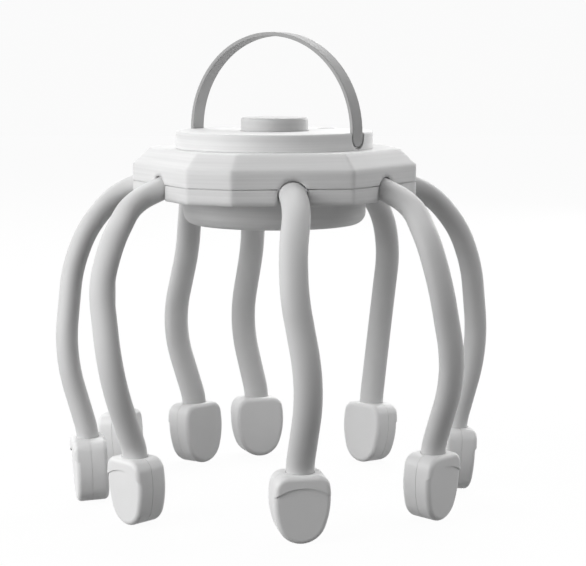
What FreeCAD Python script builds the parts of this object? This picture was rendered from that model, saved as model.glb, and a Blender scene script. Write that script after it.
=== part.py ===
import FreeCAD, Part
import math
import os
import Sketcher
from FreeCAD import Placement, Rotation, Vector

# Scalp massager: a ten-sided hub on nine springy silicone legs, each with a two-part vibrating foot,
# a round deck with a push button on top, and a carrying handle that rocks in the sides of the deck.
# Millimetres, +Z up, origin on the floor under the middle of the hub. Azimuths are in degrees from
# -Y, which is the front, and grow towards +X.

doc = FreeCAD.newDocument("scalp_massager")
sheet = doc.addObject("Spreadsheet::Sheet", "Sizes")

SIZES = {
    # Hub shells
    "hub_corner_radius": 54.0,
    "wall_above_seam": 6.4,
    "wall_below_seam": 6.0,
    "chamfer_rise": 6.0,
    "chamfer_inset": 6.4,
    "hub_edge_radius": 0.8,
    "shell_wall": 2.4,
    "shell_plate": 2.2,
    "seam_groove_width": 0.4,
    "seam_groove_depth": 0.7,
    "wire_hole_radius": 7.0,
    # Legs, from their ports to the tops of the feet
    "leg_width": 10.1,
    "leg_thickness": 8.4,
    "leg_pitch": 22.0,
    "leg_drop": 97.9,
    "leg_reach": 80.5,
    "leg_root_run": 17.8,
    "leg_root_inset": 6.0,
    "port_drop": 2.1,
    "port_gap": 0.5,
    "core_radius": 1.25,
    "core_play": 0.1,
    # Cross pin of each leg and the cheeks that hold it
    "root_pin_radius": 1.5,
    "root_pin_inset": 2.6,
    "root_pin_hold": 3.0,
    "root_pin_play": 0.05,
    "cheek_depth": 6.6,
    "cheek_height": 4.4,
    "cheek_wall": 1.4,
    # Feet
    "foot_width": 20.6,
    "foot_height": 24.9,
    "foot_thickness": 12.8,
    "foot_lean": 3.0,
    "foot_tip_inset": 1.3,
    "foot_corner_radius": 4.8,
    "foot_widest_depth": 8.8,
    "foot_edge_radius": 1.8,
    "foot_wall": 1.8,
    "foot_brow_proud": 0.6,
    "foot_brow_depth": 4.2,
    "foot_brow_end_depth": 7.6,
    "foot_seam_width": 0.16,
    "foot_seam_depth": 0.2,
    "leg_socket_depth": 6.0,
    "leg_socket_floor": 1.4,
    "leg_socket_play": 0.2,
    "motor_radius": 5.0,
    "motor_thickness": 3.4,
    "motor_depth": 14.5,
    # Deck
    "deck_radius": 37.4,
    "deck_height": 6.5,
    "deck_edge_radius": 0.8,
    "deck_wall": 3.8,
    "deck_plate": 2.0,
    "deck_post_radius": 2.6,
    "deck_post_gap": 5.2,
    # Button and the switch under it
    "button_radius": 12.8,
    "button_rise": 5.0,
    "button_edge_radius": 0.9,
    "button_gap": 0.35,
    "button_wall": 1.8,
    "button_flange_reach": 1.4,
    "button_flange_thickness": 1.2,
    "button_stem_radius": 2.4,
    "board_gap": 0.6,
    "board_thickness": 1.0,
    "switch_side": 6.0,
    "switch_height": 1.7,
    "plunger_radius": 1.7,
    "plunger_rise": 1.3,
    "plunger_hold": 0.5,
    "plunger_play": 0.1,
    # Indicator lens
    "lens_radius": 3.5,
    "lens_thickness": 1.2,
    "lens_pipe_radius": 1.6,
    "lens_play": 0.05,
    "lens_inset": 8.9,
    "lens_azimuth": 135.0,
    # Charging socket in the back of the deck
    "socket_width": 9.0,
    "socket_height": 3.2,
    "socket_length": 7.0,
    "socket_wall": 0.35,
    "socket_back": 0.8,
    "socket_recess": 0.3,
    "socket_play": 0.15,
    "socket_tongue_width": 6.4,
    "socket_tongue_thickness": 0.7,
    "socket_tongue_length": 4.6,
    "socket_azimuth": 180.0,
    # Handle and its pins
    "handle_azimuth": 56.0,
    "strap_inset": 0.2,
    "strap_thickness": 1.5,
    "strap_width": 6.8,
    "strap_edge_radius": 0.3,
    "strap_end_drop": 1.8,
    "strap_gap": 0.9,
    "recess_depth": 2.1,
    "handle_pin_radius": 1.2,
    "handle_pin_hold": 1.2,
    "handle_pin_reach": 0.9,
    "handle_pin_play": 0.05,
    # Belly cap and battery
    "belly_radius": 34.8,
    "belly_depth": 10.4,
    "belly_edge_radius": 4.4,
    "belly_wall": 2.0,
    "battery_length": 34.0,
    "battery_width": 26.0,
    "battery_thickness": 7.0,
    "battery_edge_radius": 1.5,
    # Screws
    "shell_screw_circle": 25.5,
    "shell_screw_radius": 1.4,
    "shell_screw_head_radius": 2.5,
    "shell_screw_head_height": 1.8,
    "shell_screw_bite": 9.5,
    "shell_boss_radius": 3.8,
    "screw_well_radius": 4.0,
    "deck_screw_radius": 1.0,
    "deck_screw_head_radius": 1.9,
    "deck_screw_head_height": 1.5,
    "deck_screw_bite": 3.0,
    "screw_recess_width": 0.6,
    "screw_recess_depth": 0.7,
    "screw_play": 0.2,
    "thread_play": 0.02,
    "hole_overrun": 0.4,
    # Reach of a cut past the surface that it opens
    "overrun": 3.0,
}

# Corners of the hub. The second side, between the second and third corners, is the narrow blank one,
# and every other side carries a leg at its middle.
CORNER_AZIMUTHS = (-90.0, -35.9, -16.5, 31.8, 82.4, 118.0, 164.0, 200.0, 224.0, 246.0)
LEG_COUNT = len(CORNER_AZIMUTHS) - 1

# Each leg is bent by hand: its azimuth at the shoulder, the bow, the shin and the ankle, then the
# ankle's radius as a share of the leg's reach, and the azimuth that its foot faces.
LEG_BENDS = (
    (5.0, 5.0, 9.0, 7.5, 0.85, 11.0),
    (49.5, 49.5, 54.0, 58.0, 0.855, 50.0),
    (99.5, 99.5, 98.5, 99.0, 0.90, 99.5),
    (141.5, 142.5, 146.5, 146.0, 0.905, 133.5),
    (187.0, 187.0, 190.5, 186.0, 0.915, 197.0),
    (209.0, 208.0, 212.5, 209.5, 0.85, 225.5),
    (238.0, 241.5, 239.5, 237.5, 0.935, 254.5),
    (265.5, 267.5, 275.5, 276.5, 0.895, 281.5),
    (306.5, 307.0, 313.5, 310.0, 0.825, 310.0),
)
# Radius as a share of the leg's reach, and drop as a share of the leg's drop, at the first three.
LEG_STATION_SHARES = ((0.905, 0.20), (0.97, 0.355), (1.0, 0.675))
ANKLE_DROP_SHARE = 0.975
ARC_REACH_SHARE = 0.45

SHELL_SCREW_AZIMUTHS = (45.0, 135.0, 225.0, 315.0)
DECK_SCREW_AZIMUTHS = (0.0, 120.0, 240.0)

rows = dict(SIZES)
for index, corner in enumerate(CORNER_AZIMUTHS):
    rows[f"corner_azimuth_{index}"] = corner
for row, (name, number) in enumerate(rows.items(), start=1):
    sheet.set(f"A{row}", name)
    sheet.set(f"B{row}", str(number))
    sheet.setAlias(f"B{row}", name)
doc.recompute()

# Heights above the floor
SEAM = "(Sizes.leg_drop + Sizes.foot_height)"
WALL_TOP = f"({SEAM} + Sizes.wall_above_seam)"
HUB_TOP = f"({WALL_TOP} + Sizes.chamfer_rise)"
PLATE_UNDERSIDE = f"({HUB_TOP} - Sizes.shell_plate)"
DECK_TOP = f"({HUB_TOP} + Sizes.deck_height)"
DECK_UNDERSIDE = f"({DECK_TOP} - Sizes.deck_plate)"
BOARD_TOP = f"({HUB_TOP} + Sizes.board_thickness)"
SWITCH_TOP = f"({BOARD_TOP} + Sizes.switch_height)"
HUB_BOTTOM = f"({SEAM} - Sizes.wall_below_seam)"
HUB_FLOOR = f"({HUB_BOTTOM} + Sizes.shell_plate)"
BELLY_BOTTOM = f"({HUB_BOTTOM} - Sizes.belly_depth)"
BELLY_FLOOR = f"({BELLY_BOTTOM} + Sizes.belly_wall)"
WELL_ROOF = f"({HUB_BOTTOM} - Sizes.belly_wall)"
HANDLE_PIVOT = f"({DECK_TOP} - Sizes.strap_end_drop)"
# Top of a foot that leans towards the head while the rounded edge of its tip stands on the floor
FOOT_TIP_REACH = "(Sizes.foot_thickness / 2 - Sizes.foot_brow_proud - Sizes.foot_edge_radius)"
FOOT_TIP_DROP = "(Sizes.foot_height - Sizes.foot_edge_radius)"
FOOT_TOP = (f"({FOOT_TIP_REACH} * sin(Sizes.foot_lean) + {FOOT_TIP_DROP} * cos(Sizes.foot_lean)"
            " + Sizes.foot_edge_radius)")

# Radii about the middle of the hub
BUTTON_FLANGE_RADIUS = "(Sizes.button_radius + Sizes.button_flange_reach)"
DECK_POST_CIRCLE = f"({BUTTON_FLANGE_RADIUS} + Sizes.deck_post_gap + Sizes.deck_post_radius)"
BOARD_RADIUS = "(Sizes.deck_radius - Sizes.deck_wall - Sizes.board_gap)"
LENS_CIRCLE = "(Sizes.deck_radius - Sizes.lens_inset)"
STRAP_OUTER = "(Sizes.deck_radius - Sizes.strap_inset)"
STRAP_INNER = f"({STRAP_OUTER} - Sizes.strap_thickness)"
# Radius of the round tip of a foot, which is a little narrower than the foot
FOOT_TIP_RADIUS = "(Sizes.foot_width / 2 - Sizes.foot_tip_inset)"

# Turns a section drawn flat, wide along X, so that it faces X, stays wide along Y and stands along Z
FACING_X = Rotation(Vector(1, 1, 1), 120)
ALONG_X = Rotation(Vector(0, 1, 0), 90)
ALONG_Y = Rotation(Vector(1, 0, 0), -90)

nodes = []


def value(formula):
    """Number that a formula on the sheet gives now."""
    return float(sheet.evalExpression(formula))


def size(name):
    """One driving dimension."""
    return float(sheet.get(name))


def polar(radius, azimuth, height):
    """Point at a radius and azimuth about the middle of the hub."""
    turn = math.radians(azimuth)
    return Vector(radius * math.sin(turn), -radius * math.cos(turn), height)


def facing(azimuth, radius=0.0, height=0.0):
    """Placement whose X points outwards at the azimuth and whose Y runs along the rim."""
    return Placement(polar(radius, azimuth, height), Rotation(Vector(0, 0, 1), azimuth - 90))


def shifted(place, x=0.0, y=0.0, z=0.0, turn=Rotation()):
    """Placement moved, and then turned, in its own axes."""
    return place.multiply(Placement(Vector(x, y, z), turn))


def keep(item, label):
    """Name a finished sub-part and list it for export."""
    item.Label = label
    nodes.append(item)
    return item


# Sketches and features of bodies


def add_body(name):
    return doc.addObject("PartDesign::Body", name)


def add_sketch(body, name, height):
    """Sketch parallel to the floor at a height."""
    sketch = body.newObject("Sketcher::SketchObject", name)
    plane = next(item for item in body.Origin.OriginFeatures if item.Role == "XY_Plane")
    sketch.AttachmentSupport = [(plane, "")]
    sketch.MapMode = "FlatFace"
    sketch.setExpression("AttachmentOffset.Base.z", height)
    return sketch


def add_upright_sketch(body, name):
    """Sketch on the upright plane through X."""
    sketch = body.newObject("Sketcher::SketchObject", name)
    plane = next(item for item in body.Origin.OriginFeatures if item.Role == "XZ_Plane")
    sketch.AttachmentSupport = [(plane, "")]
    sketch.MapMode = "FlatFace"
    return sketch


def hold_point(sketch, kind, geometry, end, formula):
    """Hold one point of a sketch at a distance from the origin; kind is DistanceX or DistanceY."""
    number = sketch.addConstraint(Sketcher.Constraint(kind, -1, 1, geometry, end, value(formula)))
    sketch.setExpression(f"Constraints[{number}]", formula)


def pin_point(sketch, geometry, end, x, y):
    """Hold one point of a sketch at the place that two formulas give."""
    hold_point(sketch, "DistanceX", geometry, end, x)
    hold_point(sketch, "DistanceY", geometry, end, y)


def add_outline(sketch, corners):
    """Closed outline of straight lines through corners given as pairs of formulas."""
    points = [Vector(value(x), value(y), 0) for x, y in corners]
    lines = []
    for start, end in zip(points, points[1:] + points[:1]):
        lines.append(sketch.addGeometry(Part.LineSegment(start, end)))
    for line, following in zip(lines, lines[1:] + lines[:1]):
        sketch.addConstraint(Sketcher.Constraint("Coincident", line, 2, following, 1))
    for line, (x, y) in zip(lines, corners):
        pin_point(sketch, line, 1, x, y)
    return lines


def add_circle(sketch, radius, x="0", y="0"):
    """Circle of a radius about a point, all given as formulas."""
    centre = Vector(value(x), value(y), 0)
    circle = sketch.addGeometry(Part.Circle(centre, Vector(0, 0, 1), value(radius)))
    number = sketch.addConstraint(Sketcher.Constraint("Radius", circle, value(radius)))
    sketch.setExpression(f"Constraints[{number}]", radius)
    pin_point(sketch, circle, 3, x, y)


def add_hub_outline(sketch, radius):
    """Ten-sided outline of the hub whose corners stand at a radius."""
    corners = []
    for index in range(len(CORNER_AZIMUTHS)):
        corner = f"Sizes.corner_azimuth_{index}"
        corners.append((f"({radius}) * sin({corner})", f"-({radius}) * cos({corner})"))
    add_outline(sketch, corners)


def add_pad(body, sketch, length, downward=False):
    pad = body.newObject("PartDesign::Pad", f"{sketch.Name}_pad")
    pad.Profile = sketch
    pad.setExpression("Length", length)
    pad.Reversed = downward
    doc.recompute()
    return pad


def add_pocket(body, sketch, depth, upward=False):
    """Pocket from a sketch, which has to take material away."""
    before = body.Shape.Volume
    pocket = body.newObject("PartDesign::Pocket", f"{sketch.Name}_pocket")
    pocket.Profile = sketch
    pocket.setExpression("Length", depth)
    pocket.Reversed = upward
    doc.recompute()
    if body.Shape.Volume >= before:
        raise RuntimeError(f"{pocket.Name} cuts nothing")
    return pocket


def add_loft(body, kind, lower, upper):
    """Straight-sided loft between two outlines; kind is AdditiveLoft or SubtractiveLoft."""
    loft = body.newObject(f"PartDesign::{kind}", f"{lower.Name}_loft")
    loft.Profile = lower
    loft.Sections = [upper]
    loft.Ruled = True
    doc.recompute()
    return loft


def add_fillet(body, name, radius, wanted):
    """Round the edges of the body's last feature for which wanted(edge) is true."""
    doc.recompute()
    base = body.Tip
    names = [f"Edge{number}" for number, edge in enumerate(base.Shape.Edges, start=1) if wanted(edge)]
    fillet = body.newObject("PartDesign::Fillet", name)
    fillet.Base = (base, names)
    fillet.setExpression("Radius", radius)
    doc.recompute()
    return fillet


def round_edge_at(radius, height):
    """Test for a circular edge about the Z axis at a radius and height."""
    def wanted(edge):
        if not isinstance(edge.Curve, Part.Circle):
            return False
        near = abs(edge.Curve.Radius - value(radius)) + abs(edge.Curve.Center.z - value(height))
        return near < size("thread_play")
    return wanted


def away_from_seam(edge):
    """Test for an edge of a hub shell that isn't one of the groove's along the seam."""
    return max(abs(vertex.Z - value(SEAM)) for vertex in edge.Vertexes) > size("seam_groove_width")


# Primitives and booleans


def add_cylinder(name, radius, height, place):
    item = doc.addObject("Part::Cylinder", name)
    item.setExpression("Radius", radius)
    item.setExpression("Height", height)
    item.Placement = place
    return item


def add_box(name, length, width, height, place):
    """Box that starts at the placement's origin in X and Z and is centred across it in Y."""
    item = doc.addObject("Part::Box", name)
    item.setExpression("Length", length)
    item.setExpression("Width", width)
    item.setExpression("Height", height)
    item.Placement = shifted(place, y=-value(width) / 2)
    return item


def add_slot(name, width, height, length, place):
    """Bar along X with round ends, centred across the placement's Y and Z."""
    half = f"({width} - {height}) / 2"
    middle = add_box(f"{name}_middle", length, f"{width} - {height}", height,
                     shifted(place, z=-value(height) / 2))
    ends = []
    for side in (-1, 1):
        ends.append(add_cylinder(f"{name}_end_{side + 1}", f"{height} / 2", length,
                                 shifted(place, y=side * value(half), turn=ALONG_X)))
    return add_fuse(name, [middle] + ends)


def add_fuse(name, items):
    fuse = doc.addObject("Part::MultiFuse", name)
    fuse.Shapes = items
    fuse.Refine = True
    return fuse


def add_cut(name, base, tool):
    cut = doc.addObject("Part::Cut", name)
    cut.Base = base
    cut.Tool = tool
    cut.Refine = True
    return cut


def add_solid(label, shape, place=Placement()):
    """Sub-part whose solid follows a bent path or a rounded outline."""
    item = doc.addObject("Part::Feature", label)
    item.Shape = shape
    item.Placement = place
    return keep(item, label)


# Where each leg leaves the hub


def leg_side(leg):
    """Azimuth and distance from the axis of the middle of the side that carries a leg."""
    index = (leg + 1) % len(CORNER_AZIMUTHS)
    first = CORNER_AZIMUTHS[index]
    second = CORNER_AZIMUTHS[index + 1] if index < LEG_COUNT else CORNER_AZIMUTHS[0] + 360
    half = math.radians((second - first) / 2)
    return (first + second) / 2, size("hub_corner_radius") * math.cos(half)


def leg_port(leg):
    """Placement at the middle of a leg's port, with X down along the leg and Y along the rim."""
    azimuth, distance = leg_side(leg)
    place = facing(azimuth, distance, value(SEAM) - size("port_drop"))
    return shifted(place, turn=Rotation(Vector(0, 1, 0), size("leg_pitch")))


def root_pin_place(leg, length):
    """Placement of a cylinder of a length along a leg's cross pin, which lies in the seam."""
    azimuth, distance = leg_side(leg)
    place = facing(azimuth, distance - size("root_pin_inset"), value(SEAM))
    return shifted(place, y=-length / 2, turn=ALONG_Y)


# Length of the cross pin, and the slot and cheeks that hold it
PORT_WIDTH = "(Sizes.leg_width + 2 * Sizes.port_gap)"
ROOT_PIN_LENGTH = f"({PORT_WIDTH} + 2 * Sizes.root_pin_hold)"
ROOT_SLOT_LENGTH = f"({ROOT_PIN_LENGTH} + 2 * Sizes.root_pin_play)"
CHEEK_WIDTH = f"({ROOT_SLOT_LENGTH} + 2 * Sizes.cheek_wall)"


def add_port_cuts(leg):
    """What a leg needs cut from the shells: its oval port, open below, and the slot of its cross pin."""
    port = leg_port(leg)
    oval = doc.addObject("Part::Ellipse", f"port_outline_{leg}")
    oval.setExpression("MajorRadius", f"{PORT_WIDTH} / 2")
    oval.setExpression("MinorRadius", "Sizes.leg_thickness / 2 + Sizes.port_gap")
    oval.Placement = shifted(port, turn=FACING_X)
    mouth = doc.addObject("Part::Extrusion", f"port_mouth_{leg}")
    mouth.Base = oval
    mouth.DirMode = "Normal"
    mouth.Solid = True
    for reach in ("LengthFwd", "LengthRev"):
        mouth.setExpression(reach, "Sizes.leg_root_inset + Sizes.overrun")
    inner = size("leg_root_inset") + size("port_gap")
    depth = "2 * Sizes.wall_below_seam"
    notch = add_box(f"port_notch_{leg}", "2 * Sizes.leg_root_inset + Sizes.port_gap", PORT_WIDTH, depth,
                    shifted(port, x=-inner, z=-value(depth)))
    slot = add_cylinder(f"root_pin_slot_{leg}", "Sizes.root_pin_radius + Sizes.root_pin_play",
                        ROOT_SLOT_LENGTH, root_pin_place(leg, value(ROOT_SLOT_LENGTH)))
    return [mouth, notch, slot]


def add_cheeks(leg, name, height, base):
    """Block behind the wall at a port, from which the port leaves a cheek each side of the leg."""
    azimuth, distance = leg_side(leg)
    length = "Sizes.cheek_depth - Sizes.shell_wall / 2"
    place = facing(azimuth, distance - size("cheek_depth"), value(base))
    return add_box(f"{name}_{leg}", length, CHEEK_WIDTH, height, place)


# Upper shell: a ten-sided tray, upside down, with a groove along its rim for the seam, cheeks for the
# legs' cross pins and bosses for the long screws

upper_body = add_body("upper_tray")
upper_rim = add_sketch(upper_body, "upper_rim", SEAM)
add_hub_outline(upper_rim, "Sizes.hub_corner_radius - Sizes.seam_groove_depth")
add_pad(upper_body, upper_rim, "Sizes.seam_groove_width / 2")
upper_wall = add_sketch(upper_body, "upper_wall", f"{SEAM} + Sizes.seam_groove_width / 2")
add_hub_outline(upper_wall, "Sizes.hub_corner_radius")
add_pad(upper_body, upper_wall, "Sizes.wall_above_seam - Sizes.seam_groove_width / 2")
chamfer_foot = add_sketch(upper_body, "chamfer_foot", WALL_TOP)
add_hub_outline(chamfer_foot, "Sizes.hub_corner_radius")
chamfer_head = add_sketch(upper_body, "chamfer_head", HUB_TOP)
add_hub_outline(chamfer_head, "Sizes.hub_corner_radius - Sizes.chamfer_inset")
add_loft(upper_body, "AdditiveLoft", chamfer_foot, chamfer_head)
add_fillet(upper_body, "upper_edges", "Sizes.hub_edge_radius", away_from_seam)
upper_hollow = add_sketch(upper_body, "upper_hollow", SEAM)
add_hub_outline(upper_hollow, "Sizes.hub_corner_radius - Sizes.shell_wall")
add_pocket(upper_body, upper_hollow, "Sizes.wall_above_seam", upward=True)
hollow_foot = add_sketch(upper_body, "hollow_foot", WALL_TOP)
add_hub_outline(hollow_foot, "Sizes.hub_corner_radius - Sizes.shell_wall")
hollow_head = add_sketch(upper_body, "hollow_head", PLATE_UNDERSIDE)
add_hub_outline(hollow_head, "Sizes.hub_corner_radius - Sizes.shell_wall - Sizes.chamfer_inset")
add_loft(upper_body, "SubtractiveLoft", hollow_foot, hollow_head)
upper_wire_hole = add_sketch(upper_body, "upper_wire_hole", HUB_TOP)
add_circle(upper_wire_hole, "Sizes.wire_hole_radius")
add_pocket(upper_body, upper_wire_hole, "Sizes.shell_plate")

legs = range(1, LEG_COUNT + 1)
port_cuts = []
for leg in legs:
    port_cuts += add_port_cuts(leg)

upper_adds = [upper_body]
upper_cuts = list(port_cuts)
for leg in legs:
    upper_adds.append(add_cheeks(leg, "upper_cheeks", "Sizes.cheek_height", SEAM))
BOSS_LENGTH = f"{PLATE_UNDERSIDE} - {HUB_FLOOR}"
for azimuth in SHELL_SCREW_AZIMUTHS:
    place = facing(azimuth, size("shell_screw_circle"), value(HUB_FLOOR))
    upper_adds.append(add_cylinder("shell_boss", "Sizes.shell_boss_radius",
                                   f"{BOSS_LENGTH} + Sizes.shell_plate / 2", place))
    upper_cuts.append(add_cylinder("shell_pilot", "Sizes.shell_screw_radius + Sizes.thread_play",
                                   "Sizes.shell_screw_bite + Sizes.hole_overrun", place))
for azimuth in DECK_SCREW_AZIMUTHS:
    place = facing(azimuth, value(DECK_POST_CIRCLE), value(PLATE_UNDERSIDE))
    upper_cuts.append(add_cylinder("deck_screw_hole", "Sizes.deck_screw_radius + Sizes.screw_play",
                                   "Sizes.shell_plate", place))
keep(add_cut("upper_shell", add_fuse("upper_whole", upper_adds), add_fuse("upper_openings", upper_cuts)),
     "upper_shell")

# Lower shell: a shallow ten-sided tray with the ports cut down through its rim

lower_body = add_body("lower_tray")
lower_rim = add_sketch(lower_body, "lower_rim", SEAM)
add_hub_outline(lower_rim, "Sizes.hub_corner_radius - Sizes.seam_groove_depth")
add_pad(lower_body, lower_rim, "Sizes.seam_groove_width / 2", downward=True)
lower_wall = add_sketch(lower_body, "lower_wall", f"{SEAM} - Sizes.seam_groove_width / 2")
add_hub_outline(lower_wall, "Sizes.hub_corner_radius")
add_pad(lower_body, lower_wall, "Sizes.wall_below_seam - Sizes.seam_groove_width / 2", downward=True)
add_fillet(lower_body, "lower_edges", "Sizes.hub_edge_radius", away_from_seam)
lower_hollow = add_sketch(lower_body, "lower_hollow", SEAM)
add_hub_outline(lower_hollow, "Sizes.hub_corner_radius - Sizes.shell_wall")
add_pocket(lower_body, lower_hollow, "Sizes.wall_below_seam - Sizes.shell_plate")
lower_wire_hole = add_sketch(lower_body, "lower_wire_hole", HUB_FLOOR)
add_circle(lower_wire_hole, "Sizes.wire_hole_radius")
add_pocket(lower_body, lower_wire_hole, "Sizes.shell_plate")

lower_adds = [lower_body]
lower_cuts = list(port_cuts)
for leg in legs:
    lower_adds.append(add_cheeks(leg, "lower_cheeks", f"{SEAM} - {HUB_FLOOR}", HUB_FLOOR))
for azimuth in SHELL_SCREW_AZIMUTHS:
    place = facing(azimuth, size("shell_screw_circle"), value(HUB_BOTTOM))
    lower_cuts.append(add_cylinder("lower_screw_hole", "Sizes.shell_screw_radius + Sizes.screw_play",
                                   "Sizes.shell_plate", place))
keep(add_cut("lower_shell", add_fuse("lower_whole", lower_adds), add_fuse("lower_openings", lower_cuts)),
     "lower_shell")

# Belly cap: a round cup with a rounded lower edge and four screw wells, screwed under the hub

belly_body = add_body("belly_cup")
belly_outline = add_sketch(belly_body, "belly_outline", HUB_BOTTOM)
add_circle(belly_outline, "Sizes.belly_radius")
add_pad(belly_body, belly_outline, "Sizes.belly_depth", downward=True)
add_fillet(belly_body, "belly_edge", "Sizes.belly_edge_radius",
           round_edge_at("Sizes.belly_radius", BELLY_BOTTOM))
belly_hollow = add_sketch(belly_body, "belly_hollow", HUB_BOTTOM)
add_circle(belly_hollow, "Sizes.belly_radius - Sizes.belly_wall")
add_pocket(belly_body, belly_hollow, "Sizes.belly_depth - Sizes.belly_wall")
add_fillet(belly_body, "belly_inner_edge", "Sizes.belly_edge_radius - Sizes.belly_wall",
           round_edge_at("Sizes.belly_radius - Sizes.belly_wall", BELLY_FLOOR))

belly_adds = [belly_body]
belly_cuts = []
for azimuth in SHELL_SCREW_AZIMUTHS:
    place = facing(azimuth, size("shell_screw_circle"), value(BELLY_BOTTOM))
    belly_adds.append(add_cylinder("screw_well", "Sizes.screw_well_radius", "Sizes.belly_depth", place))
    belly_cuts.append(add_cylinder("screw_well_bore", "Sizes.shell_screw_head_radius + Sizes.screw_play",
                                   "Sizes.belly_depth - Sizes.belly_wall", place))
    belly_cuts.append(add_cylinder("belly_screw_hole", "Sizes.shell_screw_radius + Sizes.screw_play",
                                   "Sizes.belly_depth", place))
keep(add_cut("belly_cap", add_fuse("belly_whole", belly_adds), add_fuse("belly_openings", belly_cuts)),
     "belly_cap")

battery_box = add_box("battery_box", "Sizes.battery_length", "Sizes.battery_width",
                      "Sizes.battery_thickness",
                      Placement(Vector(-size("battery_length") / 2, 0, value(BELLY_FLOOR)), Rotation()))
doc.recompute()
battery = doc.addObject("Part::Fillet", "battery")
battery.Base = battery_box
battery_edges = []
for number, edge in enumerate(battery_box.Shape.Edges, start=1):
    if abs(edge.tangentAt(edge.FirstParameter).x) > 0:
        battery_edges.append((number, size("battery_edge_radius"), size("battery_edge_radius")))
battery.Edges = battery_edges
keep(battery, "battery")


SCREW_RECESS_REACH_SHARE = 2 / 3


def add_screw(name, radius, length, head_radius, head_height, place):
    """Screw with its cross-recessed head below the placement and its shank up along Z."""
    shank = add_cylinder(f"{name}_shank", radius, length, place)
    bottom = shifted(place, z=-value(head_height))
    head = add_cylinder(f"{name}_head", head_radius, head_height, bottom)
    reach = f"{SCREW_RECESS_REACH_SHARE} * {head_radius}"
    recess = []
    for turn in (0, 90):
        across = shifted(bottom, turn=Rotation(Vector(0, 0, 1), turn))
        recess.append(add_box(f"{name}_recess_{turn}", f"2 * {reach}", "Sizes.screw_recess_width",
                              "Sizes.screw_recess_depth", shifted(across, x=-value(reach))))
    return add_cut(name, add_fuse(f"{name}_blank", [shank, head]), add_fuse(f"{name}_recess", recess))


def add_group(label, items):
    """Like pieces that share one node."""
    group = doc.addObject("Part::Compound", label)
    group.Links = items
    return keep(group, label)


shell_screws = []
for number, azimuth in enumerate(SHELL_SCREW_AZIMUTHS, start=1):
    place = facing(azimuth, size("shell_screw_circle"), value(WELL_ROOF))
    length = "Sizes.belly_wall + Sizes.shell_plate + Sizes.shell_screw_bite"
    shell_screws.append(add_screw(f"shell_screw_{number}", "Sizes.shell_screw_radius", length,
                                  "Sizes.shell_screw_head_radius", "Sizes.shell_screw_head_height", place))
add_group("shell_screws", shell_screws)

# Deck: a round cap on the hub's flat top, with the button's hole, the lens's seat, the socket's window,
# a U-shaped recess each side for the handle, and posts for its screws

deck_body = add_body("deck_cap")
deck_outline = add_sketch(deck_body, "deck_outline", HUB_TOP)
add_circle(deck_outline, "Sizes.deck_radius")
add_pad(deck_body, deck_outline, "Sizes.deck_height")
add_fillet(deck_body, "deck_edge", "Sizes.deck_edge_radius", round_edge_at("Sizes.deck_radius", DECK_TOP))
deck_hollow = add_sketch(deck_body, "deck_hollow", HUB_TOP)
add_circle(deck_hollow, "Sizes.deck_radius - Sizes.deck_wall")
add_pocket(deck_body, deck_hollow, "Sizes.deck_height - Sizes.deck_plate", upward=True)
button_hole = add_sketch(deck_body, "button_hole", DECK_TOP)
add_circle(button_hole, "Sizes.button_radius + Sizes.button_gap")
add_pocket(deck_body, button_hole, "Sizes.deck_plate")
LENS_X = f"{LENS_CIRCLE} * sin(Sizes.lens_azimuth)"
LENS_Y = f"-{LENS_CIRCLE} * cos(Sizes.lens_azimuth)"
lens_seat = add_sketch(deck_body, "lens_seat", DECK_TOP)
add_circle(lens_seat, "Sizes.lens_radius + Sizes.lens_play", LENS_X, LENS_Y)
add_pocket(deck_body, lens_seat, "Sizes.lens_thickness")
lens_hole = add_sketch(deck_body, "lens_hole", DECK_TOP)
add_circle(lens_hole, "Sizes.lens_pipe_radius + Sizes.lens_play", LENS_X, LENS_Y)
add_pocket(deck_body, lens_hole, "Sizes.deck_plate")

deck_adds = [deck_body]
deck_cuts = []
for azimuth in DECK_SCREW_AZIMUTHS:
    place = facing(azimuth, value(DECK_POST_CIRCLE), value(BOARD_TOP))
    deck_adds.append(add_cylinder("deck_post", "Sizes.deck_post_radius",
                                  f"{DECK_UNDERSIDE} - {BOARD_TOP} + Sizes.deck_plate / 2", place))
    deck_cuts.append(add_cylinder("deck_pilot", "Sizes.deck_screw_radius + Sizes.thread_play",
                                  "Sizes.deck_screw_bite + Sizes.hole_overrun", place))
SOCKET_MIDDLE = f"({BOARD_TOP} + Sizes.socket_height / 2)"
socket_place = facing(size("socket_azimuth"),
                      size("deck_radius") - size("socket_recess") - size("socket_length"),
                      value(SOCKET_MIDDLE))
deck_cuts.append(add_slot("socket_window", "(Sizes.socket_width + 2 * Sizes.socket_play)",
                          "(Sizes.socket_height + 2 * Sizes.socket_play)",
                          "Sizes.socket_length + Sizes.overrun", socket_place))
handle_sides = (size("handle_azimuth"), size("handle_azimuth") + 180)
RECESS_WIDTH = "(Sizes.strap_width + 2 * Sizes.strap_gap)"
for side, azimuth in enumerate(handle_sides):
    floor = size("deck_radius") - size("recess_depth")
    pivot = facing(azimuth, floor, value(HANDLE_PIVOT))
    depth = "Sizes.recess_depth + Sizes.overrun"
    deck_cuts.append(add_cylinder(f"recess_round_{side}", f"{RECESS_WIDTH} / 2", depth,
                                  shifted(pivot, turn=ALONG_X)))
    deck_cuts.append(add_box(f"recess_slot_{side}", depth, RECESS_WIDTH,
                             "Sizes.strap_end_drop + Sizes.overrun", pivot))
    deck_cuts.append(add_cylinder(f"pin_seat_{side}", "Sizes.handle_pin_radius + Sizes.thread_play",
                                  "Sizes.handle_pin_hold + Sizes.recess_depth",
                                  shifted(pivot, x=-size("handle_pin_hold"), turn=ALONG_X)))
keep(add_cut("top_deck", add_fuse("deck_whole", deck_adds), add_fuse("deck_openings", deck_cuts)),
     "top_deck")

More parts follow.
